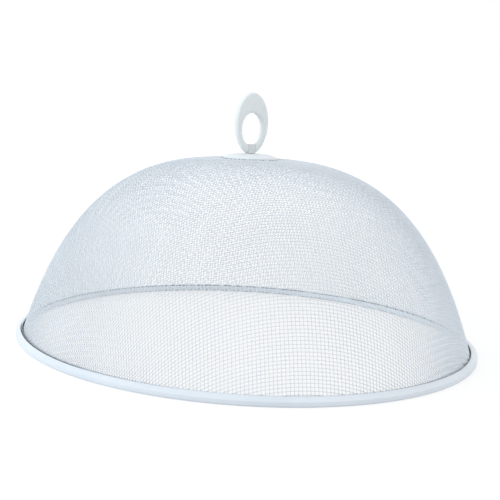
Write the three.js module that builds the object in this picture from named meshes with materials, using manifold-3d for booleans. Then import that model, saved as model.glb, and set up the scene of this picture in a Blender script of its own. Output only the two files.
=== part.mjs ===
// A domed food cover: woven wire cloth on a rolled metal rim, with an upright ring handle on top.
// Millimetres, +Z up. The origin is the centre of the rim's underside, on the table.
import * as THREE from 'three';
import { mergeVertices } from 'three/addons/utils/BufferGeometryUtils.js';
import Module from 'manifold-3d';

const wasm = await Module();
wasm.setup();

const radians = THREE.MathUtils.degToRad;

// Whole cover
const rimRadius = 177.5;
const domeHeight = 140.4;
const clearance = 0.3;

// Wire cloth, a plain weave two wires thick
const wireDiameter = 0.42;
const clothThickness = 2 * wireDiameter;
const wallLean = radians(16.1);
const wallReachShare = 1.084;
const crownReachShare = 0.295;
const clothHoleRadius = 3;

// Plain grid of openings in the cloth, much coarser than its weave
const gridRows = 6;
const gridRowSteps = 2;
const gridSpokes = 24;
const gridColumns = 4;
const gridRib = 10;
const gridTopMargin = 3;
const gridFootMargin = 8;

// Recess in the cloth under the top plate
const seatDepth = 1.1;
const seatMargin = 0.5;
const seatFlank = 2.4;

// Rolled rim, a channel of sheet steel round the edge of the cloth
const rimSheet = 0.6;
const rimLedge = 5.4;
const rimLipHeight = 5.8;
const rimWallHeight = 4;
const rimLegHeight = 5.2;
const rimCorner = 1.2;
const rimRoll = 0.8;
const rimCrevice = 1.2;

// Top plate, a pressed disc under the handle
const plateRadius = 21.7;
const plateSheet = 1;
const plateRise = 4.3;
const plateFlatRadius = 8.6;
const plateShoulder = 1.5;
const plateHoleClearance = 0.45;

// Clamp plate under the cloth
const clampRadius = 18;
const clampSheet = 1;
const clampEdge = 0.3;

// Handle, an upright oval ring with its finger hole below its middle
const loopWidth = 28.7;
const loopHeight = 47.5;
const loopThickness = 5.5;
const loopRounding = 1.5;
const loopSetBack = 1.2;
const loopSink = 0.7;
const loopTopWall = 15.7;
const loopSideWall = 5.2;
const loopBottomWall = 6.85;
const handleTurn = radians(32);
const bossRadius = 3.4;
const bossHeight = 6.9;
const bossChamfer = 0.4;

// Screw from below
const screwRadius = 1.75;
const screwTipDepth = 1.6;
const screwTipTaper = 0.7;
const screwBoreEnd = 0.4;
const headRadius = 4;
const headHeight = 2.4;
const headRounding = 1;
const driveLength = 4.4;
const driveWidth = 0.9;
const driveDepth = 1.3;

// Roundness of the facets
const roundSteps = gridSpokes * gridColumns;
const plateSteps = 48;
const smallSteps = 24;
const loopSteps = 24;
const bendSteps = 1;
const roundingSteps = 3;
const joinDistance = 0.001;

// Levels, from the table up
const clothFoot = rimSheet + rimCorner + clearance;
const seatTop = domeHeight - seatDepth;
const plateEdge = seatTop + clearance;
const plateTop = plateEdge + plateRise;
const clampTop = seatTop - clothThickness - clearance;
const headTop = clampTop - clampSheet - clearance;
const handleFoot = plateTop + clearance;
const bossTop = handleFoot + bossHeight;

// Radii that the neighbours share
const clothEdgeRadius = rimRadius - rimLedge;
const seatRadius = plateRadius + seatMargin;
const clearHoleRadius = screwRadius + plateHoleClearance;

const clothPaint = new THREE.MeshStandardMaterial({ color: 0xe4e9ee, roughness: 0.5, metalness: 0.1 });
const rimPaint = new THREE.MeshStandardMaterial({ color: 0xe6e9ed, roughness: 0.35, metalness: 0.1 });
const platePaint = new THREE.MeshStandardMaterial({ color: 0xdfe5e8, roughness: 0.35, metalness: 0.1 });
const handleResin = new THREE.MeshStandardMaterial({ color: 0xd4dcdd, roughness: 0.4, metalness: 0 });
const zincPlate = new THREE.MeshStandardMaterial({ color: 0xb9bcc0, roughness: 0.35, metalness: 0.9 });

// A closed outline round a bent strip. The strip's outside is on the right of its centre line.
function stripOutline(centreLine, thickness) {
  const isNew = (point, i) => i === 0 || point.distanceTo(centreLine[i - 1]) > joinDistance;
  const points = centreLine.filter(isNew);
  const last = points.length - 1;
  const rightOf = (from, to) => new THREE.Vector2(to.y - from.y, from.x - to.x).normalize();
  const offsets = points.map((point, i) => {
    const before = rightOf(points[Math.max(i, 1) - 1], points[Math.max(i, 1)]);
    const after = rightOf(points[Math.min(i, last - 1)], points[Math.min(i, last - 1) + 1]);
    const mitre = thickness / 2 / (1 + before.dot(after));
    return before.add(after).multiplyScalar(mitre);
  });
  const right = points.map((point, i) => point.clone().add(offsets[i]));
  const left = points.map((point, i) => point.clone().sub(offsets[i]));
  return [...right, ...left.reverse()];
}

// A solid turned about the Z axis from an outline of radius and height.
function revolve(outline, steps) {
  const geometry = new THREE.LatheGeometry(outline, steps);
  return geometry.rotateX(Math.PI / 2);
}

function revolveStrip(centreLine, thickness, steps) {
  const outline = stripOutline(centreLine, thickness);
  return revolve([...outline, outline[0]], steps);
}

function toSolid(geometry) {
  geometry.deleteAttribute('normal');
  geometry.deleteAttribute('uv');
  const merged = mergeVertices(geometry);
  const triVerts = new Uint32Array(merged.index.array);
  const vertProperties = new Float32Array(merged.attributes.position.array);
  return new wasm.Manifold(new wasm.Mesh({ numProp: 3, vertProperties, triVerts }));
}

function toGeometry(solid) {
  const mesh = solid.getMesh();
  const geometry = new THREE.BufferGeometry();
  geometry.setAttribute('position', new THREE.BufferAttribute(mesh.vertProperties, 3));
  geometry.setIndex(new THREE.BufferAttribute(mesh.triVerts, 1));
  geometry.computeVertexNormals();
  return geometry;
}

// Radius of the middle of the cloth, low on the wall where it is straight.
function clothRadiusAt(height) {
  return clothEdgeRadius - (height - clothFoot) * Math.tan(wallLean);
}

// The dome's curve through the middle of the cloth, from the top down to the edge in the rim.
function domeCurve() {
  const top = domeHeight - clothThickness / 2;
  const wallReach = wallReachShare * (top - clothFoot);
  const edge = new THREE.Vector2(clothEdgeRadius, clothFoot);
  const wall = new THREE.Vector2(-Math.sin(wallLean), Math.cos(wallLean)).multiplyScalar(wallReach);
  return new THREE.CubicBezierCurve(
    new THREE.Vector2(0, top),
    new THREE.Vector2(crownReachShare * clothEdgeRadius, top),
    edge.clone().add(wall),
    edge,
  );
}

// A bent strip turned about the Z axis, with openings where isOpen says so for a column and a
// segment of the centre line. The centre line runs upwards, with the strip's outside on its right.
function revolveGrid(centreLine, thickness, steps, isOpen) {
  const count = centreLine.length;
  const outline = stripOutline(centreLine, thickness);
  const positions = Array.from({ length: steps }, (_, column) => {
    const angle = 2 * Math.PI * column / steps;
    return outline.map(({ x, y }) => [x * Math.cos(angle), x * Math.sin(angle), y]);
  });
  const outer = (column, i) => (column % steps) * 2 * count + i;
  const inner = (column, i) => (column % steps) * 2 * count + 2 * count - 1 - i;
  const isSolid = (column, i) => i >= 0 && i < count - 1 && !isOpen((column + steps) % steps, i);
  const index = [];
  const addQuad = (a, b, c, d) => index.push(a, b, c, a, c, d);
  for (let k = 0; k < steps; k += 1) {
    for (let i = 0; i < count - 1; i += 1) {
      if (!isSolid(k, i)) continue;
      const [outA, outB, outC, outD] = [outer(k, i), outer(k + 1, i), outer(k + 1, i + 1), outer(k, i + 1)];
      const [inA, inB, inC, inD] = [inner(k, i), inner(k + 1, i), inner(k + 1, i + 1), inner(k, i + 1)];
      addQuad(outA, outB, outC, outD);
      addQuad(inA, inD, inC, inB);
      if (!isSolid(k - 1, i)) addQuad(outA, outD, inD, inA);
      if (!isSolid(k + 1, i)) addQuad(outB, inB, inC, outC);
      if (!isSolid(k, i - 1)) addQuad(outA, inA, inB, outB);
      if (!isSolid(k, i + 1)) addQuad(outD, outC, inC, inD);
    }
  }
  const geometry = new THREE.BufferGeometry();
  geometry.setAttribute('position', new THREE.Float32BufferAttribute(positions.flat(2), 3));
  geometry.setIndex(index);
  return geometry;
}

// Pressed dome of wire cloth, with its grid, a flat recess for the top plate and a screw hole.
function meshDome() {
  const curve = domeCurve();
  const length = curve.getLength();
  const flankTop = seatRadius + seatFlank;
  const pitch = (length - flankTop - gridTopMargin - gridFootMargin + gridRib) / gridRows;
  const rowSegments = gridRowSteps + 1;
  const reaches = Array.from({ length: gridRows * rowSegments }, (_, i) => {
    const rowFoot = length - gridFootMargin - Math.floor(i / rowSegments) * pitch;
    return rowFoot - (pitch - gridRib) * (i % rowSegments) / gridRowSteps;
  });
  const level = seatTop - clothThickness / 2;
  const centreLine = [
    ...[length, ...reaches, flankTop].map((reach) => curve.getPointAt(reach / length)),
    new THREE.Vector2(seatRadius, level),
    new THREE.Vector2(clothHoleRadius, level),
  ];
  const isOpen = (column, segment) => column % gridColumns !== 0
    && segment < reaches.length && segment % rowSegments !== 0;
  return toGeometry(toSolid(revolveGrid(centreLine, clothThickness, roundSteps, isOpen)));
}

// Rolled rim: inner leg against the cloth, flat foot, outer wall, sloping top and turned-down lip.
function rimBand() {
  const half = rimSheet / 2;
  const legOffset = (clothThickness / 2 + clearance + half) / Math.cos(wallLean);
  const legRadiusAt = (height) => clothRadiusAt(height) - legOffset;
  const cornerLevel = half + rimCorner;
  const tangentLevel = cornerLevel - rimCorner * Math.sin(wallLean);
  const innerCorner = legRadiusAt(tangentLevel) + rimCorner * Math.cos(wallLean);
  const outerCorner = rimRadius - half - rimCorner;
  const lipEdge = clothRadiusAt(rimLipHeight) + clothThickness / 2 + rimCrevice;
  const wallTop = new THREE.Vector2(rimRadius - half - rimRoll, rimWallHeight - rimRoll);
  const lipTop = new THREE.Vector2(lipEdge + half + rimRoll, rimLipHeight - half - rimRoll);
  const slopeAngle = lipTop.clone().sub(wallTop).angle() - Math.PI / 2;
  const path = new THREE.Path();
  path.moveTo(legRadiusAt(rimLegHeight), rimLegHeight);
  path.lineTo(legRadiusAt(tangentLevel), tangentLevel);
  path.absarc(innerCorner, cornerLevel, rimCorner, Math.PI + wallLean, 1.5 * Math.PI);
  path.absarc(outerCorner, cornerLevel, rimCorner, -Math.PI / 2, 0);
  path.absarc(wallTop.x, wallTop.y, rimRoll, 0, slopeAngle);
  path.absarc(lipTop.x, lipTop.y, rimRoll, slopeAngle, Math.PI);
  return revolveStrip(path.getPoints(bendSteps), rimSheet, roundSteps);
}

// Pressed disc that sits in the recess of the cloth and carries the handle.
function topPlate() {
  const crown = plateTop - plateSheet / 2;
  const edgeRadius = plateRadius - plateSheet / 2;
  const shoulderRadius = plateRadius - plateShoulder;
  const shoulderLevel = plateEdge + plateShoulder;
  const path = new THREE.Path();
  path.moveTo(clearHoleRadius, crown);
  path.lineTo(plateFlatRadius, crown);
  path.quadraticCurveTo((plateFlatRadius + shoulderRadius) / 2, crown, shoulderRadius, shoulderLevel);
  path.quadraticCurveTo(edgeRadius, shoulderLevel - plateSheet / 2, edgeRadius, plateEdge);
  return revolveStrip(path.getPoints(2 * bendSteps), plateSheet, plateSteps);
}

// Flat disc under the cloth, drawn up against it by the screw.
function clampPlate() {
  const bottom = clampTop - clampSheet;
  const edge = clampRadius - clampEdge;
  const outline = [
    new THREE.Vector2(clearHoleRadius, bottom),
    new THREE.Vector2(edge, bottom),
    new THREE.Vector2(clampRadius, bottom + clampEdge),
    new THREE.Vector2(clampRadius, clampTop - clampEdge),
    new THREE.Vector2(edge, clampTop),
    new THREE.Vector2(clearHoleRadius, clampTop),
  ];
  return revolve([...outline, outline[0]], plateSteps);
}

// Oval slab with rounded edges and the finger hole through it, upright and a little behind its boss.
function loopRing() {
  const bottom = handleFoot - loopSink;
  const outline = new THREE.Shape();
  outline.absellipse(0, bottom + loopHeight / 2, loopWidth / 2, loopHeight / 2, 0, 2 * Math.PI);
  const holeBottom = bottom + loopBottomWall;
  const holeHeight = loopHeight - loopTopWall - loopBottomWall;
  const holeWidth = loopWidth - 2 * loopSideWall;
  const hole = new THREE.Path();
  hole.absellipse(0, holeBottom + holeHeight / 2, holeWidth / 2, holeHeight / 2, 0, 2 * Math.PI);
  outline.holes.push(hole);
  const depth = loopThickness - 2 * loopRounding;
  const geometry = new THREE.ExtrudeGeometry(outline, {
    depth,
    curveSegments: loopSteps,
    bevelThickness: loopRounding,
    bevelSize: loopRounding,
    bevelOffset: -loopRounding,
    bevelSegments: roundingSteps,
  });
  return geometry.translate(0, 0, -depth / 2 - loopSetBack).rotateX(Math.PI / 2);
}

function bossPost() {
  return revolve([
    new THREE.Vector2(0, handleFoot),
    new THREE.Vector2(bossRadius, handleFoot),
    new THREE.Vector2(bossRadius, bossTop - bossChamfer),
    new THREE.Vector2(bossRadius - bossChamfer, bossTop),
    new THREE.Vector2(0, bossTop),
  ], smallSteps);
}

// A round cutter on the Z axis between two levels.
function roundCutter(radius, bottom, top) {
  const cutter = new THREE.CylinderGeometry(radius, radius, top - bottom, smallSteps);
  return toSolid(cutter.rotateX(Math.PI / 2).translate(0, 0, (bottom + top) / 2));
}

// Ring and screw boss in one, cut flat underneath, with a blind bore for the screw.
function handleLoop() {
  const sole = new THREE.BoxGeometry(loopWidth, loopWidth, loopHeight);
  sole.translate(0, 0, handleFoot - loopHeight / 2);
  const boreTop = bossTop - screwTipDepth + screwBoreEnd;
  const bore = roundCutter(screwRadius + clearance, handleFoot - loopSink, boreTop);
  const standing = toSolid(loopRing()).subtract(toSolid(sole));
  return toGeometry(standing.add(toSolid(bossPost())).subtract(bore));
}

// Pan-head screw with a cross drive, pointing up into the boss.
function handleScrew() {
  const headBottom = headTop - headHeight;
  const tip = bossTop - screwTipDepth;
  const body = revolve([
    new THREE.Vector2(0, headBottom),
    new THREE.Vector2(headRadius - headRounding, headBottom),
    new THREE.Vector2(headRadius, headBottom + headRounding),
    new THREE.Vector2(headRadius, headTop),
    new THREE.Vector2(screwRadius, headTop),
    new THREE.Vector2(screwRadius, tip - screwTipTaper),
    new THREE.Vector2(screwRadius - screwTipTaper, tip),
    new THREE.Vector2(0, tip),
  ], smallSteps);
  const slots = [[driveLength, driveWidth], [driveWidth, driveLength]].map(([along, across]) => {
    const slot = new THREE.BoxGeometry(along, across, 2 * driveDepth);
    return toSolid(slot.translate(0, 0, headBottom));
  });
  return toGeometry(slots.reduce((solid, slot) => solid.subtract(slot), toSolid(body)));
}

function piece(name, geometry, material) {
  const mesh = new THREE.Mesh(geometry, material);
  mesh.name = name;
  return mesh;
}

const foodCover = new THREE.Group();
foodCover.add(piece('mesh_dome', meshDome(), clothPaint));
foodCover.add(piece('rim_band', rimBand(), rimPaint));
foodCover.add(piece('top_plate', topPlate(), platePaint));
foodCover.add(piece('under_plate', clampPlate(), zincPlate));

const turningHandle = new THREE.Group();
turningHandle.rotation.z = handleTurn;
turningHandle.add(piece('handle_loop', handleLoop(), handleResin));
turningHandle.add(piece('handle_screw', handleScrew(), zincPlate));
foodCover.add(turningHandle);

export default foodCover;
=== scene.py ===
import math

import bmesh
import bpy
import numpy as np
from mathutils import Matrix, Vector


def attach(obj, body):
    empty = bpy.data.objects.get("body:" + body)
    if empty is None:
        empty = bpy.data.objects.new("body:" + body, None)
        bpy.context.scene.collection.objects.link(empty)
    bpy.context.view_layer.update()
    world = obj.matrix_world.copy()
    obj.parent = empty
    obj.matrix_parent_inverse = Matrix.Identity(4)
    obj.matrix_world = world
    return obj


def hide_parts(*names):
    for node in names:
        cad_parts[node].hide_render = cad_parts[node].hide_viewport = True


# A domed food cover of woven wire on a rolled rim, with an oval ring handle. The dictionaries
# give millimetres and degrees, apart from the floor's and the lamps', which give metres.

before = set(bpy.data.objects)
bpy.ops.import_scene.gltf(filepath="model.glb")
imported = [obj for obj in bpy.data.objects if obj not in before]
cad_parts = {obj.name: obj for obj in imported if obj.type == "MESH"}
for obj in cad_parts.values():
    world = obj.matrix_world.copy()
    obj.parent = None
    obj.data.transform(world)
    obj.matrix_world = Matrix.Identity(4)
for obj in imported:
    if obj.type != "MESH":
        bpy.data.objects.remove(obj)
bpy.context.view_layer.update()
mm = 0.001  # the scene is in metres


# Node trees as plain expressions

class Signal:  # one output socket, so that sums of sockets read as arithmetic
    def __init__(self, graph, socket):
        self.graph = graph
        self.socket = socket

    def __add__(self, other):
        return self.graph.maths("ADD", self, other)

    def __sub__(self, other):
        return self.graph.maths("SUBTRACT", self, other)

    def __rsub__(self, other):
        return self.graph.maths("SUBTRACT", other, self)

    def __mul__(self, other):
        return self.graph.maths("MULTIPLY", self, other)

    __radd__ = __add__
    __rmul__ = __mul__


class Graph:  # builds shader trees and geometry trees alike
    def __init__(self, tree):
        self.tree = tree
        tree.nodes.clear()

    def node(self, kind, settings=None, inputs=None, output=0):
        made = self.tree.nodes.new(kind)
        for name, value in (settings or {}).items():
            setattr(made, name, value)
        for name, value in (inputs or {}).items():
            if isinstance(value, Signal):
                self.tree.links.new(value.socket, made.inputs[name])
            else:
                made.inputs[name].default_value = value
        return Signal(self, made.outputs[output]) if made.outputs else made

    def maths(self, operation, first, second):
        return self.node("ShaderNodeMath", {"operation": operation}, {0: first, 1: second})

    def step(self, value, low, high):  # 0 below low, 1 above high, smooth between
        settings = {"interpolation_type": "SMOOTHSTEP"}
        return self.node("ShaderNodeMapRange", settings,
                         {"Value": value, "From Min": low, "From Max": high})

    def blendColour(self, share, first, second):
        settings = {"data_type": "RGBA"}
        return self.node("ShaderNodeMix", settings, {0: share, 6: first, 7: second}, 2)

    def blendShader(self, share, first, second):
        return self.node("ShaderNodeMixShader", None, {0: share, 1: first, 2: second})

    def noise(self, place, size, detail=2.0):  # size is about one bump, in millimetres
        inputs = {"Vector": place, "Scale": 1 / (size * mm), "Detail": detail}
        return self.node("ShaderNodeTexNoise", None, inputs)

    def bump(self, height, depth, strength):  # depth in millimetres for a height of 1
        inputs = {"Height": height, "Distance": depth * mm, "Strength": strength}
        return self.node("ShaderNodeBump", None, inputs)

    def stored(self, name):  # a value that the mesh keeps at its points
        return self.node("ShaderNodeAttribute", {"attribute_name": name}, None, "Fac")


def colour(red, green, blue):
    return (red, green, blue, 1.0)


def newMaterial(name):
    material = bpy.data.materials.new(name)
    material.use_nodes = True
    graph = Graph(material.node_tree)
    place = graph.node("ShaderNodeTexCoord", output="Object")
    return material, graph, place


def mixed(first, second, share):  # share is the second one's part, as a plain number
    return first * (1 - share) + second * share


def dullness(graph, grain, patch, values):  # 0 where a finish is bright, 1 where it is dull
    noise = mixed(grain, patch, values["patchShare"])
    return graph.step(noise, values["dullFrom"], values["dullTo"])


def finelyGrained(graph, place, grain, values):
    fine = graph.noise(place, values["grain"] / values["fineness"])
    return mixed(grain, fine, values["fineShare"])


def finishMaterial(graph, tone, rough, height, values, others=None):
    shader = graph.node("ShaderNodeBsdfPrincipled", None, {
        "Base Color": tone,
        "Roughness": rough,
        "Normal": graph.bump(height, values["bumpDepth"], values["bumpStrength"]),
        **(others or {}),
    })
    graph.node("ShaderNodeOutputMaterial", None, {"Surface": shader})


# Finishes

print("finishes")
wireCoatValues = {
    "light": colour(0.76, 0.80, 0.84),
    "dull": colour(0.705, 0.745, 0.79),
    "grain": 1.6,
    "fineness": 3,
    "fineShare": 0.4,
    "patch": 38,
    "patchDetail": 3,
    "patchShare": 0.55,
    "dullFrom": 0.38,
    "dullTo": 0.62,
    "roughness": 0.42,
    "roughening": 0.12,
    "bumpDepth": 0.03,
    "bumpStrength": 0.5,
}
enamelValues = {
    "rim": colour(0.72, 0.765, 0.81),
    "rimDull": colour(0.68, 0.73, 0.785),
    # painted light: a lighter tone for the rim's inner face
    "rimInside": colour(0.89, 0.93, 0.96),
    "plate": colour(0.73, 0.765, 0.79),
    "plateDull": colour(0.70, 0.74, 0.765),
    # channel: near-black painted shade for the crevices, where the coat is also left off
    "channel": colour(0.035, 0.04, 0.045),
    "grain": 5,
    "fineness": 4,
    "fineShare": 0.3,
    "patch": 45,
    "patchDetail": 3,
    "patchShare": 0.7,
    "dullFrom": 0.36,
    "dullTo": 0.64,
    "roughness": 0.3,
    "roughening": 0.1,
    "bareRoughness": 0.75,
    "bumpDepth": 0.12,
    "bumpStrength": 0.35,
}
resinValues = {
    "light": colour(0.76, 0.79, 0.795),
    "dull": colour(0.725, 0.76, 0.765),
    # boss: the darker tone of the boss's painted shade
    "boss": colour(0.64, 0.67, 0.675),
    "bossRadius": 3.6,
    "bossShadeSideFade": 0.3,
    "bossTop": 151.4,
    "bossTopFade": 0.4,
    "grain": 2.2,
    "patch": 16,
    "patchShare": 0.65,
    "dullFrom": 0.35,
    "dullTo": 0.65,
    "roughness": 0.38,
    "roughening": 0.08,
    "ior": 1.48,
    "bumpDepth": 0.05,
    "bumpStrength": 0.3,
}
zincValues = {
    "bright": colour(0.88, 0.89, 0.90),
    "dull": colour(0.76, 0.775, 0.795),
    "grain": 0.6,
    "spangle": 3.5,
    "patchShare": 0.6,
    "dullFrom": 0.2,
    "dullTo": 0.7,
    "roughness": 0.34,
    "roughening": 0.16,
    "bumpDepth": 0.02,
    "bumpStrength": 0.4,
}


def wireCoat(values):  # a satin coat that is a little thicker and thinner along each wire
    material, graph, place = newMaterial("whiteWireCoat")
    grain = graph.noise(place, values["grain"])
    patch = graph.noise(place, values["patch"], values["patchDetail"])
    dull = dullness(graph, grain, patch, values)
    tone = graph.blendColour(dull, values["light"], values["dull"])
    rough = values["roughness"] + dull * values["roughening"]
    finishMaterial(graph, tone, rough, finelyGrained(graph, place, grain, values), values)
    return material


def enamel(part, values):  # a fired coat with faint ripples and dull patches
    material, graph, place = newMaterial(part + "Enamel")
    grain = graph.noise(place, values["grain"])
    patch = graph.noise(place, values["patch"], values["patchDetail"])
    dull = dullness(graph, grain, patch, values)
    tone = graph.blendColour(dull, values[part], values[part + "Dull"])
    rough = values["roughness"] + dull * values["roughening"]
    if part + "Inside" in values:  # painted light: the rim's inner face, and the channel along the front, take a lighter tone
        tone = graph.blendColour(graph.stored("paintedLightShare"), tone, values[part + "Inside"])
    # Where the attribute is 0, in the rim's channel and at the plate's foot, there is no coat:
    # the finish is rougher there, and its near-black tone is painted shade of the crevices.
    coated, bare = graph.stored("coated"), values["bareRoughness"]
    tone = graph.blendColour(coated, values["channel"], tone)
    rough = bare - coated * (bare - rough)
    finishMaterial(graph, tone, rough, finelyGrained(graph, place, grain, values), values)
    return material


def resin(values):  # moulded plastic, evenly tinted, with a very fine orange peel
    material, graph, place = newMaterial("mouldedResin")
    grain = graph.noise(place, values["grain"])
    patch = graph.noise(place, values["patch"])
    dull = dullness(graph, grain, patch, values)
    tone = graph.blendColour(dull, values["light"], values["dull"])
    rough = values["roughness"] + dull * values["roughening"]
    # Painted shade: the boss, low in the ring's hole under the ring, takes a darker tone.
    flat = graph.node("ShaderNodeVectorMath", {"operation": "MULTIPLY"}, {0: place, 1: (1, 1, 0)})
    reach = graph.node("ShaderNodeVectorMath", {"operation": "LENGTH"}, {0: flat}, "Value")
    height = graph.node("ShaderNodeSeparateXYZ", None, {0: place}, "Z")
    side, top = values["bossRadius"], values["bossTop"]
    near = 1 - graph.step(reach, side * mm, (side + values["bossShadeSideFade"]) * mm)
    low = 1 - graph.step(height, top * mm, (top + values["bossTopFade"]) * mm)
    tone = graph.blendColour(near * low, tone, values["boss"])
    finishMaterial(graph, tone, rough, grain, values, {"IOR": values["ior"]})
    return material


def zinc(values):  # plated steel with soft crystal patches
    material, graph, place = newMaterial("zincPlating")
    inputs = {"Vector": place, "Scale": 1 / (values["spangle"] * mm)}
    spangle = graph.node("ShaderNodeTexVoronoi", None, inputs)
    grain = graph.noise(place, values["grain"])
    dull = dullness(graph, grain, spangle, values)
    tone = graph.blendColour(dull, values["bright"], values["dull"])
    rough = values["roughness"] + dull * values["roughening"]
    finishMaterial(graph, tone, rough, grain, values, {"Metallic": 1.0})
    return material


wireMaterial = wireCoat(wireCoatValues)
rimMaterial = enamel("rim", enamelValues)
plateMaterial = enamel("plate", enamelValues)
resinMaterial = resin(resinValues)
zincMaterial = zinc(zincValues)


# Small helpers for meshes

def newObject(name, data):
    thing = bpy.data.objects.new(name, data)
    bpy.context.scene.collection.objects.link(thing)
    return thing


def evaluatedMesh(thing):  # the mesh that its modifiers give
    bpy.context.view_layer.update()
    graph = bpy.context.evaluated_depsgraph_get()
    return bpy.data.meshes.new_from_object(thing.evaluated_get(graph))


def readAll(items, name, kind=np.int32, width=1):
    found = np.empty(width * len(items), kind)
    items.foreach_get(name, found)
    return found


def readValues(mesh, name):
    return readAll(mesh.attributes[name].data, "value", np.float32)


def storeValues(mesh, name, found):
    if name not in mesh.attributes:
        mesh.attributes.new(name, "FLOAT", "POINT")
    mesh.attributes[name].data.foreach_set("value", np.asarray(found, np.float32))


def readPlaces(mesh):
    return readAll(mesh.vertices, "co", np.float32, 3).reshape(-1, 3)


def shade(mesh, sharpAngle=35):
    mesh.polygons.foreach_set("use_smooth", np.ones(len(mesh.polygons), bool))
    mesh.set_sharp_from_angle(angle=math.radians(sharpAngle))


def closeMesh(mesh, weld=0.0005, shortest=0.0002):  # one closed skin, with its faces outwards
    work = bmesh.new()
    work.from_mesh(mesh)
    bmesh.ops.remove_doubles(work, verts=work.verts, dist=weld * mm)
    bmesh.ops.dissolve_degenerate(work, edges=work.edges, dist=shortest * mm)
    bmesh.ops.recalc_face_normals(work, faces=work.faces)
    work.to_mesh(mesh)
    work.free()


def combined(base, other, operation, crossed=False):  # crossed: the other's skins cross
    modifier = base.modifiers.new("combine", "BOOLEAN")
    modifier.operation = operation
    modifier.solver = "EXACT"
    modifier.use_self = crossed
    modifier.object = other
    mesh = evaluatedMesh(base)
    base.modifiers.remove(modifier)
    bpy.data.objects.remove(other)
    return mesh


def arc(centre, radius, start, end, steps):  # points round a centre, angles in degrees
    angles = np.radians(np.linspace(start, end, steps + 1))
    return np.stack([centre[0] + radius * np.cos(angles), centre[1] + radius * np.sin(angles)], 1)


def turned(name, outline, steps):  # a closed outline of radius and height, turned about Z
    outline = np.array(outline, float) * mm
    angles = np.linspace(0, 2 * np.pi, steps, endpoint=False)
    radius, height = outline[:, 0], outline[:, 1]
    points = np.stack([
        np.outer(np.cos(angles), radius),
        np.outer(np.sin(angles), radius),
        np.tile(height, (steps, 1)),
    ], 2).reshape(-1, 3)
    count = len(outline)
    turn = np.arange(steps)[:, None] * count
    nextTurn = (np.arange(steps)[:, None] + 1) % steps * count
    here = np.arange(count)[None, :]
    after = (here + 1) % count
    faces = np.stack([turn + here, nextTurn + here, nextTurn + after, turn + after], 2)
    mesh = bpy.data.meshes.new(name)
    mesh.from_pydata(points.tolist(), [], faces.reshape(-1, 4).tolist())
    closeMesh(mesh)
    return mesh


def addPiece(name, mesh, material, body, nodes):
    piece = newObject(name, mesh)
    mesh.materials.clear()
    mesh.materials.append(material)
    shade(mesh)
    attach(piece, body)
    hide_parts(*nodes)
    return piece


def stripOutline(points, thickness, capSteps=6, shortest=0.001):
    # The outline of a bent strip of sheet with rounded edges: one face, tip, other face, root.
    points = np.array(points, float)
    steps = np.linalg.norm(np.diff(points, axis=0), axis=1)
    points = points[np.concatenate([[True], steps > shortest])]
    run = np.diff(points, axis=0)
    side = np.stack([run[:, 1], -run[:, 0]], 1) / np.linalg.norm(run, axis=1)[:, None]
    before = np.vstack([side[:1], side])
    after = np.vstack([side, side[-1:]])
    mitre = thickness / 2 / (1 + (before * after).sum(1))
    offset = (before + after) * mitre[:, None]
    half = thickness / 2
    tipAngle = math.degrees(math.atan2(side[-1, 1], side[-1, 0]))
    rootAngle = math.degrees(math.atan2(-side[0, 1], -side[0, 0]))
    tip = arc(points[-1], half, tipAngle, tipAngle + 180, capSteps)[1:-1]
    root = arc(points[0], half, rootAngle, rootAngle + 180, capSteps)[1:-1]
    return np.vstack([points + offset, tip, (points - offset)[::-1], root])


# Woven wire cloth

print("wire cloth")
clothValues = {
    "domeHeight": 140.4,
    "rimRadius": 177.5,
    "rimLedge": 5.4,
    "footHeight": 2.1,
    "wallLean": 16.1,
    "wallReachShare": 1.084,
    "crownReachShare": 0.295,
    "seatRadius": 22.2,
    "seatFlank": 2.4,
    "seatDepth": 1.1,
    "holeRadius": 3,
    "wireDiameter": 0.42,
    "warpPitch": 2.35,
    "weftPitch": 2.57,
    "turn": 13,
    "crimp": 1.0,
    "crossingShare": 0.22,
    "fewestCrossings": 3,
    "shortestStep": 0.02,
    "sides": 5,
    "strips": 4,
    "profilePoints": 1601,
    "skirtPoints": 100,
    "skirtStart": 0.2,
    "skirtEnd": 30,
}
nearZero = 1e-9  # keeps what is divided by a radius finite at the axis


def domeProfile(values):  # radius and height of the middle of the cloth, from the top down
    top = values["domeHeight"] - values["wireDiameter"]
    foot = values["footHeight"]
    edge = values["rimRadius"] - values["rimLedge"]
    lean = math.radians(values["wallLean"])
    reach = values["wallReachShare"] * (top - foot)
    pulls = np.array([
        [0, top],
        [values["crownReachShare"] * edge, top],
        [edge - reach * math.sin(lean), foot + reach * math.cos(lean)],
        [edge, foot],
    ])
    share = np.linspace(0, 1, values["profilePoints"])[:, None]
    curve = ((1 - share) ** 3 * pulls[0] + 3 * (1 - share) ** 2 * share * pulls[1]
             + 3 * (1 - share) * share ** 2 * pulls[2] + share ** 3 * pulls[3])
    # A straight skirt goes on past the foot, so that the crossings there can be found and cut.
    skirt = np.linspace(values["skirtStart"], values["skirtEnd"], values["skirtPoints"])[:, None]
    curve = np.vstack([curve, pulls[3] + skirt * np.array([math.sin(lean), -math.cos(lean)])])
    return curve[:, 0] * mm, curve[:, 1] * mm


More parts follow.
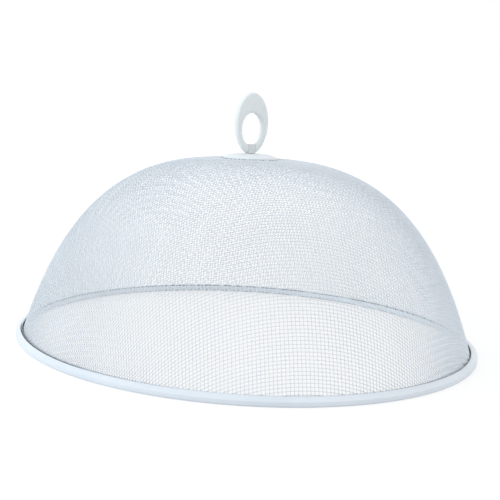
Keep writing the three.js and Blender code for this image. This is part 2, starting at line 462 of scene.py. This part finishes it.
def netOnDome(radii, heights, firstPitch, secondPitch, rounds=8, singular=1e-14, slack=0.05):
    # Cloth pressed over a dome keeps the length of its wires, so each crossing lies one pitch
    # from its two neighbours, and square cells lean into diamonds between the main directions.
    slopes = np.gradient(heights, radii)
    lengths = np.concatenate([[0], np.cumsum(np.hypot(np.diff(radii), np.diff(heights)))])
    firstCount, secondCount = (int(lengths[-1] / pitch) for pitch in (firstPitch, secondPitch))
    firstReach = np.arange(firstCount + 1) * firstPitch
    secondReach = np.arange(secondCount + 1) * secondPitch
    net = np.full((firstCount + 1, secondCount + 1, 3), np.nan)
    net[:, 0, 0], net[:, 0, 1] = np.interp(firstReach, lengths, radii), 0
    net[:, 0, 2] = np.interp(firstReach, lengths, heights)
    net[0, :, 0], net[0, :, 1] = 0, np.interp(secondReach, lengths, radii)
    net[0, :, 2] = np.interp(secondReach, lengths, heights)
    for total in range(2, firstCount + secondCount + 1):
        first = np.arange(max(1, total - secondCount), min(firstCount, total - 1) + 1)
        second = total - first
        left, right = net[first - 1, second], net[first, second - 1]
        corner = net[first - 1, second - 1]
        known = np.isfinite(left + right + corner).all(1)
        if not known.any():
            continue
        first, second = first[known], second[known]
        left, right, corner = left[known], right[known], corner[known]
        point = left + right - corner
        for _ in range(rounds):  # Newton's method on the two distances and the surface
            radius = np.maximum(np.hypot(point[:, 0], point[:, 1]), nearZero)
            slope = np.interp(radius, radii, slopes)
            miss = np.stack([
                ((point - left) ** 2).sum(1) - firstPitch ** 2,
                ((point - right) ** 2).sum(1) - secondPitch ** 2,
                point[:, 2] - np.interp(radius, radii, heights),
            ], 1)
            rows = np.stack([
                2 * (point - left),
                2 * (point - right),
                np.stack([-slope * point[:, 0] / radius, -slope * point[:, 1] / radius,
                          np.ones(len(radius))], 1),
            ], 1)
            sound = np.abs(np.linalg.det(rows)) > singular
            move = np.zeros_like(point)
            move[sound] = np.linalg.solve(rows[sound], miss[sound][:, :, None])[:, :, 0]
            point = point - np.clip(move, -secondPitch, secondPitch)
        drift = np.abs(np.linalg.norm(point - left, axis=1) - firstPitch)
        drift += np.abs(np.linalg.norm(point - right, axis=1) - secondPitch)
        outside = np.hypot(point[:, 0], point[:, 1]) > radii[-1]
        point[(drift > slack * firstPitch) | outside] = np.nan
        net[first, second] = point
    quarter = net[1:][::-1] * np.array([-1, 1, 1])
    half = np.concatenate([quarter, net])
    return np.concatenate([half[:, 1:][:, ::-1] * np.array([1, -1, 1]), half], 1)


def seatCloth(net, values):  # presses the recess for the top plate, and finds the normals
    radii, heights = domeProfile(values)
    level = (values["domeHeight"] - values["seatDepth"] - values["wireDiameter"]) * mm
    inner = values["seatRadius"] * mm
    outer = inner + values["seatFlank"] * mm
    share = np.clip((radii - inner) / (outer - inner), 0, 1)
    share = share * share * (3 - 2 * share)
    pressed = level + (heights - level) * share
    slopes = np.gradient(pressed, radii)
    radius = np.hypot(net[..., 0], net[..., 1])
    net[..., 2] = np.interp(radius, radii, pressed)
    slope = np.interp(radius, radii, slopes) / np.maximum(radius, nearZero)
    normals = np.stack([-slope * net[..., 0], -slope * net[..., 1], np.ones_like(slope)], 2)
    return net, normals / np.linalg.norm(normals, axis=2)[..., None]


def wiresAlong(net, normals, firstSide, values):
    # One row of points for each wire: two on every crossing, and one at each cut end.
    foot = values["footHeight"] * mm
    hole = values["holeRadius"] * mm
    share = values["crossingShare"]
    wires = []
    for row in range(net.shape[1]):
        line, up = net[:, row], normals[:, row]
        side = np.where((np.arange(len(line)) + row) % 2, 1.0, -1.0) * firstSide
        kept = np.isfinite(line[:, 2]) & (line[:, 2] >= foot)
        kept &= np.hypot(line[:, 0], line[:, 1]) >= hole
        edges = np.flatnonzero(np.diff(np.concatenate([[False], kept, [False]])))
        for start, stop in zip(edges[::2], edges[1::2]):
            if stop - start < values["fewestCrossings"]:
                continue
            ends = []
            for last, beyond in ((start, start - 1), (stop - 1, stop)):
                further = line[beyond]
                if np.isfinite(further).all() and further[2] < foot:
                    part = (line[last, 2] - foot) / (line[last, 2] - further[2])
                    ends.append(line[last] + part * (further - line[last]))
                else:
                    ends.append(line[last])
            middle = line[start:stop]
            before = np.vstack([ends[:1], middle[:-1]])
            after = np.vstack([middle[1:], ends[1:]])
            pairs = np.stack([middle + share * (before - middle),
                              middle + share * (after - middle)], 1).reshape(-1, 3)
            places = np.vstack([ends[0], pairs, ends[1]])
            pairUps = np.repeat(up[start:stop], 2, 0)
            pairSides = np.repeat(side[start:stop], 2)
            ups = np.vstack([pairUps[:1], pairUps, pairUps[-1:]])
            sides = np.concatenate([pairSides[:1], pairSides, pairSides[-1:]])
            steps = np.linalg.norm(np.diff(places, axis=0), axis=1)
            fresh = np.concatenate([[True], steps > values["shortestStep"] * mm])
            wires.append((places[fresh], ups[fresh], sides[fresh]))
    return wires


def wireLines(name, wires):  # the wires as chains of edges, with what the tree reads
    places = np.vstack([wire[0] for wire in wires])
    counts = [len(wire[0]) for wire in wires]
    starts = np.concatenate([[0], np.cumsum(counts)[:-1]])
    edges = np.concatenate([
        np.stack([np.arange(start, start + count - 1), np.arange(start + 1, start + count)], 1)
        for start, count in zip(starts, counts)])
    mesh = bpy.data.meshes.new(name)
    mesh.from_pydata(places.tolist(), edges.tolist(), [])
    up = mesh.attributes.new("clothNormal", "FLOAT_VECTOR", "POINT")
    up.data.foreach_set("vector", np.vstack([wire[1] for wire in wires]).ravel())
    storeValues(mesh, "side", np.concatenate([wire[2] for wire in wires]))
    storeValues(mesh, "row", np.repeat(np.arange(len(wires)), counts))
    return newObject(name, mesh)


def newTree(name, sockets):  # a geometry tree, with a signal for each of its inputs
    tree = bpy.data.node_groups.new(name, "GeometryNodeTree")
    sockets = {"Geometry": "Geometry", **sockets}
    for label, kind in sockets.items():
        tree.interface.new_socket(label, in_out="INPUT", socket_type="NodeSocket" + kind)
    tree.interface.new_socket("Geometry", in_out="OUTPUT", socket_type="NodeSocketGeometry")
    graph = Graph(tree)
    return tree, graph, {label: graph.node("NodeGroupInput", output=label) for label in sockets}


def endTree(graph, made, coat):
    real = graph.node("GeometryNodeRealizeInstances", None, {"Geometry": made})
    coated = graph.node("GeometryNodeSetMaterial", None, {"Geometry": real, "Material": coat})
    graph.node("NodeGroupOutput", None, {"Geometry": coated})


def wovenWireTree():
    tree, graph, given = newTree("wovenWire", {
        "Wire diameter": "Float", "Crimp": "Float", "Sides": "Int", "Coat": "Material"})
    normal = graph.node("GeometryNodeInputNamedAttribute", {"data_type": "FLOAT_VECTOR"},
                        {"Name": "clothNormal"})
    side = graph.node("GeometryNodeInputNamedAttribute", {"data_type": "FLOAT"},
                      {"Name": "side"})
    lift = side * given["Wire diameter"] * given["Crimp"] * 0.5
    offset = graph.node("ShaderNodeVectorMath", {"operation": "SCALE"},
                        {0: normal, "Scale": lift})
    lines = graph.node("GeometryNodeMeshToCurve", None, {"Mesh": given["Geometry"]})
    woven = graph.node("GeometryNodeSetPosition", None, {"Geometry": lines, "Offset": offset})
    woven = graph.node("GeometryNodeStoreNamedAttribute",
                       {"data_type": "FLOAT", "domain": "POINT"},
                       {"Geometry": woven, "Name": "along",
                        "Value": graph.node("GeometryNodeSplineParameter", output="Length")})
    section = graph.node("GeometryNodeCurvePrimitiveCircle", None,
                         {"Resolution": given["Sides"], "Radius": given["Wire diameter"] * 0.5})
    section = graph.node("GeometryNodeStoreNamedAttribute",
                         {"data_type": "FLOAT", "domain": "POINT"},
                         {"Geometry": section, "Name": "around",
                          "Value": graph.node("GeometryNodeSplineParameter")})
    tubes = graph.node("GeometryNodeCurveToMesh", None,
                       {"Curve": woven, "Profile Curve": section, "Fill Caps": True})
    smooth = graph.node("GeometryNodeSetShadeSmooth", None, {"Geometry": tubes})
    endTree(graph, smooth, given["Coat"])
    return tree


def applyTree(thing, tree, inputs):  # runs a tree on an object and keeps the plain mesh
    modifier = thing.modifiers.new(tree.name, "NODES")
    modifier.node_group = tree
    for item in tree.interface.items_tree:
        if item.in_out == "INPUT" and item.name in inputs:
            modifier[item.identifier] = inputs[item.name]
    mesh = evaluatedMesh(thing)
    thing.modifiers.remove(modifier)
    thing.data = mesh
    mesh.name = thing.name
    return mesh


def layOutWires(mesh, margin=0.05):
    # A map with one strip for each wire, so that no two share a place. A face that crosses a
    # wire's seam has its low end moved up to 1, so that it doesn't run back over the strip.
    vertex = readAll(mesh.loops, "vertex_index")
    start = readAll(mesh.polygons, "loop_start")
    size = readAll(mesh.polygons, "loop_total")
    along, around, row = (readValues(mesh, name)[vertex] for name in ("along", "around", "row"))
    spread = np.maximum.reduceat(around, start) - np.minimum.reduceat(around, start)
    atSeam = (spread > 0.5) & (size == 4)
    around = np.where(np.repeat(atSeam, size) & (around < 0.25), 1.0, around)
    across = (row + margin + (1 - 2 * margin) * around) / (row.max() + 1)
    places = np.stack([along / along.max(), across], 1)
    layer = mesh.uv_layers.new(name="OFBake")
    layer.uv.foreach_set("vector", places.astype(np.float32).ravel())
    for name in ("along", "around", "row", "side", "clothNormal"):
        if name in mesh.attributes:
            mesh.attributes.remove(mesh.attributes[name])


def weaveCloth(values):
    radii, heights = domeProfile(values)
    net = netOnDome(radii, heights, values["weftPitch"] * mm, values["warpPitch"] * mm)
    net, normals = seatCloth(net, values)
    turn = np.array(Matrix.Rotation(math.radians(values["turn"]), 3, "Z"))
    net, normals = net @ turn.T, normals @ turn.T
    families = {
        "warp": wiresAlong(net, normals, 1, values),
        "weft": wiresAlong(net.transpose(1, 0, 2), normals.transpose(1, 0, 2), -1, values),
    }
    tree = wovenWireTree()
    inputs = {
        "Wire diameter": values["wireDiameter"] * mm,
        "Crimp": values["crimp"],
        "Sides": values["sides"],
        "Coat": wireMaterial,
    }
    for family, wires in families.items():
        reached = np.cumsum([len(wire[0]) for wire in wires])
        strip = np.minimum(reached * values["strips"] // (reached[-1] + 1), values["strips"] - 1)
        for number in range(values["strips"]):
            chosen = [wire for wire, place in zip(wires, strip) if place == number]
            piece = wireLines(f"mesh_{family}_{number + 1}", chosen)
            mesh = applyTree(piece, tree, inputs)
            layOutWires(mesh)
            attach(piece, "cover")
            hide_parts("mesh_dome")
        print(f"  {family}: {len(wires)} wires, {reached[-1]} points")


weaveCloth(clothValues)


# Rolled rim

print("rim")
rimValues = {
    "radius": 177.5,
    "sheet": 0.6,
    "ledge": 5.4,
    "lipHeight": 5.8,
    "wallHeight": 4,
    "legHeight": 5.2,
    "corner": 1.2,
    "roll": 0.8,
    "crevice": 1.2,
    "clearance": 0.3,
    "coatedTowards": -76,
    "coatedReach": 48,
    "coatedFade": 22,
    "closedBy": 0.9,
    "closedFrom": 3.6,
    "closedFade": 1.4,
    "closedOutside": 171.1,
    # a stretch of the crest with no coat and near-black painted shade
    "wornTowards": -148,
    "wornReach": 24,
    "wornFade": 5,
    "wornDepth": 0.12,
    "wornSpread": 0.45,
    "bareBeforeTip": 8,
    "bareBeforeEnd": 15,
    "legPoints": 2,
    "bendSteps": 7,
    "roundSteps": 288,
    "sharpAngle": 50,
}


def rimSection(values, cloth):
    # Inner leg against the cloth, flat foot, outer wall, sloping top and turned-down lip.
    half = values["sheet"] / 2
    lean = cloth["wallLean"]
    sine, cosine = math.sin(math.radians(lean)), math.cos(math.radians(lean))
    edge = values["radius"] - values["ledge"]

    def clothRadius(height):
        return edge - (height - cloth["footHeight"]) * sine / cosine

    legOffset = (cloth["wireDiameter"] + values["clearance"] + half) / cosine
    cornerHeight = half + values["corner"]
    tangent = cornerHeight - values["corner"] * sine
    legTop = values["legHeight"] - half
    leg = [(clothRadius(legTop) - legOffset, legTop), (clothRadius(tangent) - legOffset, tangent)]
    inner = (leg[1][0] + values["corner"] * cosine, cornerHeight)
    outer = (values["radius"] - half - values["corner"], cornerHeight)
    wallTop = (values["radius"] - half - values["roll"], values["wallHeight"] - values["roll"])
    lipEdge = clothRadius(values["lipHeight"]) + cloth["wireDiameter"] + values["crevice"]
    lipTop = (lipEdge + half + values["roll"], values["lipHeight"] - half - values["roll"])
    slope = math.degrees(math.atan2(lipTop[1] - wallTop[1], lipTop[0] - wallTop[0])) - 90
    steps = values["bendSteps"]
    crest = arc(lipTop, values["roll"], slope, 180, steps)
    fall = math.radians(slope) - math.pi / 2
    # One more point just below the crest ends the stretch where the coat is left off and the
    # crest takes the near-black painted shade.
    worn = crest[0] + values["wornSpread"] * np.array([math.cos(fall), math.sin(fall)])
    return stripOutline(np.vstack([
        leg,
        arc(inner, values["corner"], 180 + lean, 270, steps),
        arc(outer, values["corner"], -90, 0, steps),
        arc(wallTop, values["roll"], 0, slope, steps),
        [worn],
        crest,
    ]), values["sheet"])


def rimTree():
    tree, graph, given = newTree("rolledRim", {
        "Radius": "Float", "Steps": "Int", "Coat": "Material"})
    section = graph.node("GeometryNodeMeshToCurve", None, {"Mesh": given["Geometry"]})
    hoop = graph.node("GeometryNodeCurvePrimitiveCircle", None,
                      {"Resolution": given["Steps"], "Radius": given["Radius"]})
    hoop = graph.node("GeometryNodeSetCurveNormal", {"mode": "Z_UP"}, {"Curve": hoop})
    band = graph.node("GeometryNodeCurveToMesh", None, {"Curve": hoop, "Profile Curve": section})
    endTree(graph, band, given["Coat"])
    return tree


def rollRim(values, cloth):
    section = rimSection(values, cloth)
    # The hoop's normal points outwards and its other axis down, so the height is turned over.
    flat = np.stack([section[:, 0] - values["radius"], -section[:, 1], 0 * section[:, 0]], 1)
    mesh = bpy.data.meshes.new("rim_channel")
    count = len(flat)
    edges = [(i, (i + 1) % count) for i in range(count)]
    mesh.from_pydata((flat * mm).tolist(), edges, [])
    storeValues(mesh, "coated", rimCoating(count, values))
    # Painted light on the inner leg's face.
    storeValues(mesh, "paintedLightShare", np.arange(count) < values["legPoints"])
    piece = newObject("rim_channel", mesh)
    mesh = applyTree(piece, rimTree(), {
        "Radius": values["radius"] * mm,
        "Steps": values["roundSteps"],
        "Coat": rimMaterial,
    })
    closeMesh(mesh)
    coatFront(mesh, values)
    shade(mesh, values["sharpAngle"])
    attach(piece, "cover")
    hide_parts("rim_band")


def coatFront(mesh, values):  # changes the rim over two stretches, each towards one angle
    places = readPlaces(mesh)
    angle = np.degrees(np.arctan2(places[:, 1], places[:, 0]))

    def shareOf(stretch):
        away = np.abs((angle - values[stretch + "Towards"] + 180) % 360 - 180)
        return np.clip((values[stretch + "Reach"] - away) / values[stretch + "Fade"], 0, 1)

    # Along the front the lip is crimped close to the cloth, and the coat runs into the channel,
    # which there takes the lighter painted light of the rim's inner face instead of the
    # near-black painted shade.
    share = shareOf("coated")
    radius = np.hypot(places[:, 0], places[:, 1])
    height = places[:, 2] / mm
    lip = np.clip((height - values["closedFrom"]) / values["closedFade"], 0, 1)
    lip *= radius > values["closedOutside"] * mm
    places[:, :2] *= (1 - lip * share * values["closedBy"] * mm / radius)[:, None]
    mesh.vertices.foreach_set("co", places.ravel())
    coated, paintedLightShare = readValues(mesh, "coated"), readValues(mesh, "paintedLightShare")
    storeValues(mesh, "paintedLightShare", np.maximum(paintedLightShare, share * (coated < 0.5)))
    # At the front left the crest has no coat, and takes the near-black painted shade of the
    # crevice line.
    crest = height > values["lipHeight"] - values["wornDepth"]
    storeValues(mesh, "coated", np.maximum(coated, share) * (1 - crest * shareOf("worn")))


def rimCoating(count, values):  # 1 on the coated face, 0 in the channel and on the lip's edge, where the painted shade goes
    place = np.arange(count)
    bare = place > count / 2 - values["bareBeforeTip"]
    bare &= place < count - values["bareBeforeEnd"]
    return ~bare


rollRim(rimValues, clothValues)


# Pressed plates and screw

print("plates and screw")
plateValues = {
    "radius": 21.7,
    "sheet": 1,
    "edgeHeight": 139.6,
    "rise": 4.3,
    "flatRadius": 8.6,
    "shoulder": 1.5,
    # seam: the height of the plate's foot that takes the near-black painted shade of the gap
    # under its edge
    "seam": 0.55,
    "holeRadius": 2.2,
    "holeEdge": 0.5,
    "crownSteps": 10,
    "shoulderSteps": 6,
    "roundSteps": 192,
}
clampValues = {
    "radius": 18,
    "top": 138.16,
    "sheet": 1,
    "edge": 0.3,
    "flatMargin": 2.4,
    "holeRadius": 2.2,
    "holeEdge": 0.15,
    "edgeSteps": 4,
    "roundSteps": 96,
}
screwValues = {
    "radius": 1.75,
    "rootRadius": 1.45,
    "threadPitch": 0.8,
    "headRadius": 4,
    "headTop": 136.86,
    "headHeight": 2.4,
    "headRounding": 1.3,
    "headEdge": 0.2,
    "plainShank": 1.2,
    "tip": 149.5,
    "tipRadius": 1,
    "tipHeight": 0.4,
    "threadEnd": 0.8,
    "driveLength": 4.4,
    "driveWidth": 0.9,
    "driveDepth": 1.3,
    "driveClearance": 0.5,
    "driveTaper": 0.72,
    "headSteps": 8,
    "roundSteps": 64,
}


def curveThrough(start, pull, end, steps):  # a quadratic bend, as a list of points
    share = np.linspace(0, 1, steps + 1)[:, None]
    start, pull, end = (np.array(point, float) for point in (start, pull, end))
    return (1 - share) ** 2 * start + 2 * (1 - share) * share * pull + share ** 2 * end


def topPlate(values):
    half = values["sheet"] / 2
    flat, crown = values["flatRadius"], values["edgeHeight"] + values["rise"] - half
    shoulder = (values["radius"] - values["shoulder"], values["edgeHeight"] + values["shoulder"])
    edge = values["radius"] - half
    line = np.vstack([
        [(values["holeRadius"] + values["holeEdge"], crown), (flat, crown)],
        curveThrough((flat, crown), ((flat + shoulder[0]) / 2, crown), shoulder,
                     values["crownSteps"]),
        curveThrough(shoulder, (edge, shoulder[1] - half), (edge, values["edgeHeight"] + half),
                     values["shoulderSteps"]),
    ])
    mesh = turned("top_plate_disc", stripOutline(line, values["sheet"]), values["roundSteps"])
    # Below this height the plate's foot takes the near-black painted shade of the gap between its
    # edge and the cloth.
    seam = (values["edgeHeight"] + values["seam"]) * mm
    storeValues(mesh, "coated", readPlaces(mesh)[:, 2] > seam)
    addPiece("top_plate_disc", mesh, plateMaterial, "cover", ["top_plate"])


def clampDisc(values):
    radius, hole, edge = values["radius"], values["holeRadius"], values["edge"]
    top, bottom = values["top"], values["top"] - values["sheet"]
    cut, steps = values["holeEdge"], values["edgeSteps"]
    outline = np.vstack([
        [(hole, bottom + cut), (hole + cut, bottom), (radius - values["flatMargin"], bottom)],
        arc((radius - edge, bottom + edge), edge, -90, 0, steps),
        arc((radius - edge, top - edge), edge, 0, 90, steps),
        [(hole + cut, top), (hole, top - cut)],
    ])
    mesh = turned("under_plate_disc", outline, values["roundSteps"])
    addPiece("under_plate_disc", mesh, zincMaterial, "cover", ["under_plate"])


def screw(values):
    radius, root, pitch = values["radius"], values["rootRadius"], values["threadPitch"]
    head, edge, rounding = values["headRadius"], values["headEdge"], values["headRounding"]
    top, bottom = values["headTop"], values["headTop"] - values["headHeight"]
    tip, height = values["tip"], top + values["plainShank"]
    thread = [(radius, top), (radius, height)]
    while height + pitch < tip - values["threadEnd"]:
        thread += [(root, height + pitch / 2), (radius, height + pitch)]
        height += pitch
    outline = np.vstack([
        [(0, bottom)],
        arc((head - rounding, bottom + rounding), rounding, -90, 0, values["headSteps"]),
        [(head, top - edge), (head - edge, top)],
        thread,
        [(root, tip - values["tipHeight"]), (values["tipRadius"], tip), (0, tip)],
    ])
    mesh = turned("clamp_screw", outline, values["roundSteps"])
    piece = addPiece("clamp_screw", mesh, zincMaterial, "handle", ["handle_screw"])
    cutCross(piece, values, bottom)


def cutCross(piece, values, bottom):  # a cross drive, narrower towards its floor
    work = bmesh.new()
    for long, wide in ((values["driveLength"], values["driveWidth"]),
                       (values["driveWidth"], values["driveLength"])):
        for vertex in bmesh.ops.create_cube(work, size=1)["verts"]:
            deep = vertex.co.z > 0
            share = values["driveTaper"] if deep else 1
            height = values["driveDepth"] if deep else -values["driveClearance"]
            vertex.co.x *= long * share * mm
            vertex.co.y *= wide * share * mm
            vertex.co.z = (bottom + height) * mm
    mesh = bpy.data.meshes.new("driveCutter")
    work.to_mesh(mesh)
    work.free()
    piece.data = combined(piece, newObject("driveCutter", mesh), "DIFFERENCE", crossed=True)
    shade(piece.data)


topPlate(plateValues)
clampDisc(clampValues)
screw(screwValues)


# Ring handle with its screw boss

print("handle")
handleValues = {
    "width": 28.7,
    "height": 47.5,
    "thickness": 5.5,
    "rounding": 2.1,
    "setBack": 1.2,
    "sink": 0.7,
    "topWall": 15.7,
    "sideWall": 5.2,
    "bottomWall": 6.85,
    "turn": 32,
    "foot": 144.2,
    "bossRadius": 3.4,
    "bossHeight": 6.9,
    "bossRounding": 0.5,
    "ringSteps": 120,
    "cornerSteps": 5,
    "bossSteps": 64,
    "bossEdgeSteps": 4,
}


def ringSection(length, values):  # a slab's section: along the ring's wall, and across it
    half, across = length / 2, values["thickness"] / 2
    rounding = values["rounding"]
    steps = values["cornerSteps"]
    return np.vstack([
        arc((half - rounding, across - rounding), rounding, 0, 90, steps),
        arc((rounding - half, across - rounding), rounding, 90, 180, steps),
        arc((rounding - half, rounding - across), rounding, 180, 270, steps),
        arc((half - rounding, rounding - across), rounding, 270, 360, steps),
    ])


def handleRing(values):
    bottom = values["foot"] - values["sink"]
    outerHalf = np.array([values["width"] / 2, values["height"] / 2])
    holeHeight = values["height"] - values["topWall"] - values["bottomWall"]
    holeHalf = np.array([values["width"] / 2 - values["sideWall"], holeHeight / 2])
    outerCentre = np.array([0, bottom + outerHalf[1]])
    holeCentre = np.array([0, bottom + values["bottomWall"] + holeHalf[1]])
    rings = []
    for angle in np.linspace(0, 2 * np.pi, values["ringSteps"], endpoint=False):
        way = np.array([math.cos(angle), math.sin(angle)])
        outer, inner = outerCentre + outerHalf * way, holeCentre + holeHalf * way
        length = np.linalg.norm(outer - inner)
        along = (outer - inner) / length
        section = ringSection(length, values)
        flat = (outer + inner) / 2 + section[:, :1] * along
        rings.append(np.stack([flat[:, 0], section[:, 1] + values["setBack"], flat[:, 1]], 1))
    points = np.array(rings)
    points[..., 2] = np.maximum(points[..., 2], values["foot"])
    steps, count = points.shape[:2]
    here = np.arange(steps)[:, None] * count + np.arange(count)[None, :]
    after = np.roll(here, -1, 0)
    faces = np.stack([here, after, np.roll(after, -1, 1), np.roll(here, -1, 1)], 2)
    mesh = bpy.data.meshes.new("ring")
    mesh.from_pydata((points.reshape(-1, 3) * mm).tolist(), [], faces.reshape(-1, 4).tolist())
    closeMesh(mesh)
    return mesh


def bossMesh(values):
    radius, foot, rounding = values["bossRadius"], values["foot"], values["bossRounding"]
    top = foot + values["bossHeight"]
    outline = np.vstack([
        [(0, foot), (radius, foot)],
        arc((radius - rounding, top - rounding), rounding, 0, 90, values["bossEdgeSteps"]),
        [(0, top)],
    ])
    return turned("boss", outline, values["bossSteps"])


def ringHandle(values):
    ring, boss = newObject("ring", handleRing(values)), newObject("boss", bossMesh(values))
    mesh = combined(ring, boss, "UNION")
    bpy.data.objects.remove(ring)
    mesh.transform(Matrix.Rotation(math.radians(values["turn"]), 4, "Z"))
    mesh.name = "ring_handle"
    addPiece("ring_handle", mesh, resinMaterial, "handle", ["handle_loop"])


ringHandle(handleValues)


# Camera, floor and light

print("stage")
cameraValues = {
    "focal": 900,  # the first four are in pixels
    "frameSize": 500,
    "axisAcross": 171.8,
    "axisDown": 204.4,
    "sensor": 36,
    "nearest": 10,
    "furthest": 100000,
    "distance": 726.3,
    "elevation": 14.27,
    "roll": -3.42,
    "yaw": -4.91,
    "pitch": 8.21,
    "aimHeight": -3.6,
}
stageValues = {
    "floorSize": 12,
    "floorTone": colour(0.77, 0.78, 0.80),
    "seenShare": 0.74,
    "polishedReach": 0.171,
    "polishedFade": 0.002,
    "polish": 0.06,
    "polishIor": 1.42,
    "polishShare": 0.55,
    "nearReach": 0.3,
    "farReach": 1.6,
    "farLift": 0.15,
    "shadowTone": colour(0.26, 0.26, 0.26),
    "skyStrength": 0.92,
    "skyTint": colour(0.97, 0.985, 1.0),
}
lampAim = (0, 0, 0.07)
lampValues = [
    {"name": "keyLamp", "at": (-2.1, -0.6, 1.15), "size": 1.5, "watts": 25,
     "tint": (0.83, 0.94, 1.0)},
    {"name": "fillLamp", "at": (2.0, -0.8, 0.9), "size": 1.8, "watts": 4,
     "tint": (1.0, 1.0, 0.99)},
    {"name": "topLamp", "at": (0.1, 0.5, 2.3), "size": 1.6, "watts": 3,
     "tint": (1.0, 1.0, 1.0)},
]


def addCamera(values):
    elevation, roll, yaw, pitch = (math.radians(values[name])
                                   for name in ("elevation", "roll", "yaw", "pitch"))
    distance = values["distance"] * mm
    seat = Vector((0, -distance * math.cos(elevation), distance * math.sin(elevation)))
    right, forward = Vector((1, 0, 0)), -seat.normalized()
    aimed = Matrix((right, right.cross(forward), forward))
    tilted = Matrix.Rotation(roll, 3, "Z") @ Matrix.Rotation(pitch, 3, "X")
    axes = tilted @ Matrix.Rotation(-yaw, 3, "Y") @ aimed
    facing = Matrix((axes[0], axes[1], -axes[2])).transposed()
    lens = bpy.data.cameras.new("photoCamera")
    lens.sensor_width = values["sensor"]
    lens.lens = values["focal"] / values["frameSize"] * values["sensor"]
    lens.shift_x = 0.5 - values["axisAcross"] / values["frameSize"]
    lens.shift_y = values["axisDown"] / values["frameSize"] - 0.5
    lens.clip_start, lens.clip_end = values["nearest"] * mm, values["furthest"] * mm
    camera = newObject("photoCamera", lens)
    seat.z += values["aimHeight"] * mm
    camera.matrix_world = Matrix.Translation(seat) @ facing.to_4x4()
    bpy.context.scene.camera = camera


def seenByEye(graph):  # 1 for camera, glossy and transmission rays
    rays = [graph.node("ShaderNodeLightPath", output=f"Is {kind} Ray")
            for kind in ("Camera", "Glossy", "Transmission")]
    return graph.maths("MINIMUM", rays[0] + rays[1] + rays[2], 1.0)


def addFloor(values):
    half = values["floorSize"] / 2
    mesh = bpy.data.meshes.new("floor")
    mesh.from_pydata([(-half, -half, 0), (half, -half, 0), (half, half, 0), (-half, half, 0)],
                     [], [(0, 1, 2, 3)])
    floor = newObject("floor", mesh)
    material, graph, place = newMaterial("paleFloor")
    paper = graph.node("ShaderNodeBsdfDiffuse", None, {"Color": values["floorTone"]})
    shadow = graph.node("ShaderNodeBsdfDiffuse", None, {"Color": values["shadowTone"]})
    # Further out, where the lamps do not reach, the seen floor stays as pale as near the cover.
    distance = graph.node("ShaderNodeVectorMath", {"operation": "LENGTH"}, {0: place}, "Value")
    far = graph.step(distance, values["nearReach"], values["farReach"])
    strength = values["seenShare"] + far * values["farLift"]
    white = graph.node("ShaderNodeEmission", None, {"Strength": 1.0})
    glow = graph.node("ShaderNodeMixShader", None, {0: strength, 2: white})
    seen = graph.node("ShaderNodeAddShader", None, {0: shadow, 1: glow})
    # Under the cover the table shows a soft reflection of the rim and the cloth.
    edge = values["polishedReach"]
    under = 1 - graph.step(distance, edge, edge + values["polishedFade"])
    mirror = graph.node("ShaderNodeBsdfGlossy", None, {"Roughness": values["polish"]})
    grazing = graph.node("ShaderNodeFresnel", None, {"IOR": values["polishIor"]})
    seen = graph.blendShader(grazing * under * values["polishShare"], seen, mirror)
    surface = graph.blendShader(seenByEye(graph), paper, seen)
    graph.node("ShaderNodeOutputMaterial", None, {"Surface": surface})
    mesh.materials.append(material)


def addSky(values):
    world = bpy.data.worlds.new("studio")
    world.use_nodes = True
    graph = Graph(world.node_tree)
    soft = graph.node("ShaderNodeBackground", None,
                      {"Color": values["skyTint"], "Strength": values["skyStrength"]})
    white = graph.node("ShaderNodeBackground", None, {"Color": colour(1, 1, 1), "Strength": 1.0})
    surface = graph.blendShader(seenByEye(graph), soft, white)
    graph.node("ShaderNodeOutputWorld", None, {"Surface": surface})
    bpy.context.scene.world = world


def addLamps(lamps, aim):
    for values in lamps:
        light = bpy.data.lights.new(values["name"], "AREA")
        light.shape = "SQUARE"
        light.size = values["size"]
        light.energy = values["watts"]
        light.color = values["tint"]
        lamp = newObject(values["name"], light)
        way = Vector(aim) - Vector(values["at"])
        lamp.rotation_mode = "QUATERNION"
        lamp.rotation_quaternion = way.to_track_quat("-Z", "Y")
        lamp.location = values["at"]
        lamp.visible_glossy = False  # or the polished floor would mirror it


addCamera(cameraValues)
addFloor(stageValues)
addSky(stageValues)
addLamps(lampValues, lampAim)
bpy.context.scene.view_settings.view_transform = "Standard"
